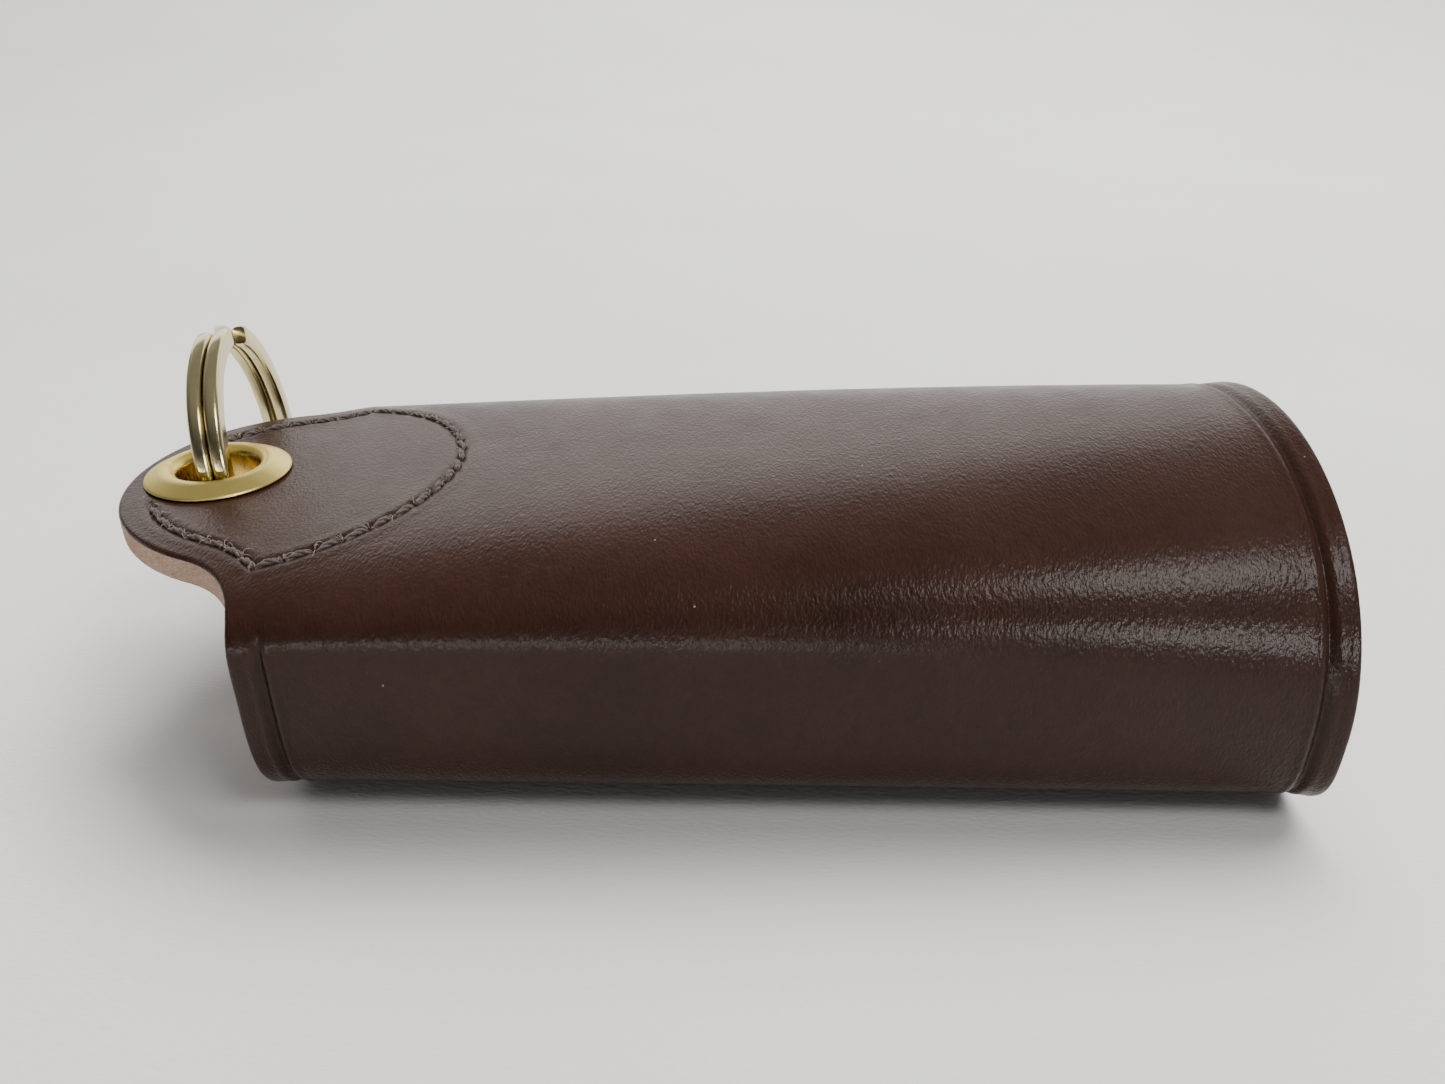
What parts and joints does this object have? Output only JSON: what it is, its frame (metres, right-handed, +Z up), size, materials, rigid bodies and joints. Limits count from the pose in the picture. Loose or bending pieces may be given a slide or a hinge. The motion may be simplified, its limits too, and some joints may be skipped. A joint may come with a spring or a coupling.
{
  "type": "key organiser",
  "caption": "Wrap-around leather key case with two snap-closed flaps, inner swivel hooks and a split ring through an eyeleted end tab.",
  "frame": {"origin": "bottom centre of the closed case's box, on the surface that it lies on", "axes": "+X along the case from the tab towards the plain end, +Y from the outer flap's fold towards the inner flap's fold, +Z up from the flaps to the back panel"},
  "size_m": [0.1146, 0.0524, 0.0357],
  "materials": {
    "bridle_leather": "smooth bridle leather with fine grain, semi-gloss, dark chocolate brown",
    "lining_leather": "flesh side of vegetable-tanned leather, matt, raw tan at the cut edge",
    "thread": "twisted waxed thread, dark brown",
    "satin_brass": "satin-spun brass",
    "polished_brass": "polished pale brass",
    "nickel": "nickel-plated steel",
    "spring_steel": "bright spring wire"
  },
  "bodies": {
    "case": {"back_panel": "bridle_leather", "tab_reinforcement": "lining_leather", "tab_stitching": "thread", "eyelet": "satin_brass", "eyelet_washer": "satin_brass", "hook_plate": "nickel", "hook_rod": "nickel", "plate_rivets": "satin_brass"},
    "near_flap": {"near_flap": "bridle_leather", "snap_cap_1": "satin_brass", "snap_cap_2": "satin_brass", "snap_socket_1": "satin_brass", "snap_socket_2": "satin_brass", "snap_spring_1": "spring_steel", "snap_spring_2": "spring_steel"},
    "far_flap": {"far_flap": "bridle_leather", "snap_stud_1": "satin_brass", "snap_stud_2": "satin_brass", "snap_post_1": "satin_brass", "snap_post_2": "satin_brass"},
    "split_ring": {"split_ring": "polished_brass"},
    "hook_shank_1": {"hook_shank_1": "nickel"},
    "key_hook_1": {"key_hook_1": "nickel"},
    "hook_shank_2": {"hook_shank_2": "nickel"},
    "key_hook_2": {"key_hook_2": "nickel"},
    "hook_shank_3": {"hook_shank_3": "nickel"},
    "key_hook_3": {"key_hook_3": "nickel"},
    "hook_shank_4": {"hook_shank_4": "nickel"},
    "key_hook_4": {"key_hook_4": "nickel"}
  },
  "joints": [
    {"name": "near_flap_fold", "type": "hinge", "parent": "case", "child": "near_flap", "pos_m": [0, -0.0262, 0.0105], "axis": [-1, 0, 0], "range_deg": [0, 120]},
    {"name": "far_flap_fold", "type": "hinge", "parent": "case", "child": "far_flap", "pos_m": [0, 0.0262, 0.0105], "axis": [1, 0, 0], "range_deg": [0, 120]},
    {"name": "ring_swing", "type": "hinge", "parent": "case", "child": "split_ring", "pos_m": [-0.04885, 0, 0.024], "axis": [0, 0, 1], "range_deg": [0, 180]},
    {"name": "hook_swing_1", "type": "hinge", "parent": "case", "child": "hook_shank_1", "pos_m": [-0.03309, -0.012, 0.01936], "axis": [0, -1, 0], "range_deg": [-55, 65]},
    {"name": "hook_swivel_1", "type": "hinge", "parent": "hook_shank_1", "child": "key_hook_1", "pos_m": [-0.03309, -0.012, 0.01936], "axis": [0, 0, 1], "continuous": true},
    {"name": "hook_swing_2", "type": "hinge", "parent": "case", "child": "hook_shank_2", "pos_m": [-0.03309, -0.004, 0.01936], "axis": [0, -1, 0], "range_deg": [-55, 65]},
    {"name": "hook_swivel_2", "type": "hinge", "parent": "hook_shank_2", "child": "key_hook_2", "pos_m": [-0.03309, -0.004, 0.01936], "axis": [0, 0, 1], "continuous": true},
    {"name": "hook_swing_3", "type": "hinge", "parent": "case", "child": "hook_shank_3", "pos_m": [-0.03309, 0.004, 0.01936], "axis": [0, -1, 0], "range_deg": [-55, 65]},
    {"name": "hook_swivel_3", "type": "hinge", "parent": "hook_shank_3", "child": "key_hook_3", "pos_m": [-0.03309, 0.004, 0.01936], "axis": [0, 0, 1], "continuous": true},
    {"name": "hook_swing_4", "type": "hinge", "parent": "case", "child": "hook_shank_4", "pos_m": [-0.03309, 0.012, 0.01936], "axis": [0, -1, 0], "range_deg": [-55, 65]},
    {"name": "hook_swivel_4", "type": "hinge", "parent": "hook_shank_4", "child": "key_hook_4", "pos_m": [-0.03309, 0.012, 0.01936], "axis": [0, 0, 1], "continuous": true}
  ],
  "couplings": [
    {"joint": "far_flap_fold", "follows": "near_flap_fold", "ratio": 1}
  ]
}
